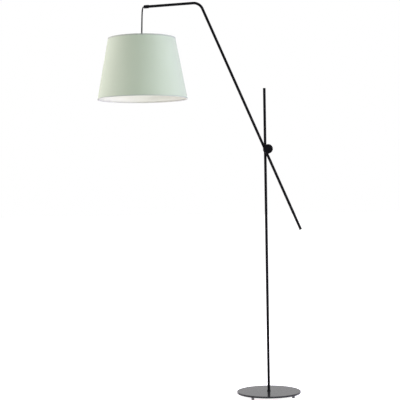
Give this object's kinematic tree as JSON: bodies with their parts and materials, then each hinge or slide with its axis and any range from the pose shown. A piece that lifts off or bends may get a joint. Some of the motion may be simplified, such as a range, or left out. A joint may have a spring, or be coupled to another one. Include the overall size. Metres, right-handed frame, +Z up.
{
  "type": "adjustable arm floor lamp",
  "caption": "Floor lamp with a disc base, a thin pole, a bent tube arm held by a one-knob cross clamp, and a fabric drum shade hanging from the arm's tip.",
  "frame": {"origin": "on the floor under the centre of the base, on the pole's axis", "axes": "+Z up along the pole, -X from the pole towards the hanging shade, -Y towards the side where the clamp knob faces"},
  "size_m": [0.9026, 0.4018, 1.7646],
  "materials": {
    "black_paint": "satin",
    "clear_rubber": "satin",
    "zinc_steel": "satin",
    "black_plastic": "satin",
    "nylon": "matte",
    "brass": "satin",
    "flex_jacket": "matte",
    "white_ceramic": "matte",
    "nickel": "satin",
    "bulb_plastic": "satin",
    "dark_glass": "gloss",
    "sage_fabric": "matte",
    "cream_liner": "matte",
    "white_wire": "satin"
  },
  "bodies": {
    "base": {"base_plate": "black_paint", "base_feet": "clear_rubber", "pole_washer": "zinc_steel", "pole_bolt": "zinc_steel", "foot_collar": "black_paint", "foot_insert": "zinc_steel", "pole_lower": "black_paint", "pole_joiner": "zinc_steel", "pole_upper": "black_paint", "pole_cap": "black_plastic"},
    "clamp_slider": {"pole_sleeve": "nylon"},
    "clamp_rear": {"rear_jaw": "black_paint", "clamp_bolt": "zinc_steel", "friction_disc": "nylon"},
    "clamp_front": {"front_jaw": "black_paint", "arm_sleeve": "nylon", "knob_washer": "zinc_steel"},
    "knob": {"knob": "black_plastic", "knob_insert": "brass", "knob_cap": "black_plastic"},
    "arm": {"arm_tube": "black_paint", "end_gland": "black_plastic", "tip_bush": "black_plastic", "arm_flex": "flex_jacket"},
    "flex_joint": {"flex_bend": "flex_jacket"},
    "pendant": {"flex_drop": "flex_jacket", "cord_grip": "black_plastic", "grip_screw": "black_plastic", "holder_cap": "black_plastic", "holder_body": "black_plastic", "contact_block": "white_ceramic", "centre_contact": "brass", "screw_shell": "nickel", "shade_ring": "black_plastic", "bulb_contact": "nickel", "bulb_insulator": "dark_glass", "bulb_screw_cap": "nickel", "bulb_housing": "bulb_plastic", "bulb_globe": "bulb_plastic", "shade_fabric": "sage_fabric", "shade_liner": "cream_liner", "bottom_hoop": "white_wire", "top_frame": "white_wire"}
  },
  "joints": [
    {"name": "clamp_lift", "type": "slide", "parent": "base", "child": "clamp_slider", "axis": [0, 0, 1], "range_m": [-0.38, 0.24]},
    {"name": "clamp_swivel", "type": "hinge", "parent": "clamp_slider", "child": "clamp_rear", "pos_m": [0, 0, 1.1035], "axis": [0, 0, 1], "continuous": true},
    {"name": "arm_tilt", "type": "hinge", "parent": "clamp_rear", "child": "clamp_front", "pos_m": [0.0107, 0, 1.1035], "axis": [0, 1, 0], "range_deg": [-45, 23.15]},
    {"name": "knob_turn", "type": "hinge", "parent": "clamp_rear", "child": "knob", "pos_m": [0.0107, 0, 1.1035], "axis": [0, 1, 0], "range_deg": [-360, 0]},
    {"name": "arm_slide", "type": "slide", "parent": "clamp_front", "child": "arm", "axis": [-0.3931, 0, 0.9195], "range_m": [-0.25, 0.3]},
    {"name": "flex_plumb", "type": "hinge", "parent": "arm", "child": "flex_joint", "pos_m": [-0.53177, -0.0207, 1.74524], "axis": [0, 1, 0], "range_deg": [-23.15, 45], "deforming": ["flex_bend"]},
    {"name": "shade_swing", "type": "hinge", "parent": "flex_joint", "child": "pendant", "pos_m": [-0.5421, -0.0207, 1.704], "axis": [1, 0, 0], "range_deg": [-15, 15], "deforming": ["flex_drop"]}
  ],
  "couplings": [
    {"joint": "flex_plumb", "follows": "arm_tilt", "ratio": -1}
  ]
}
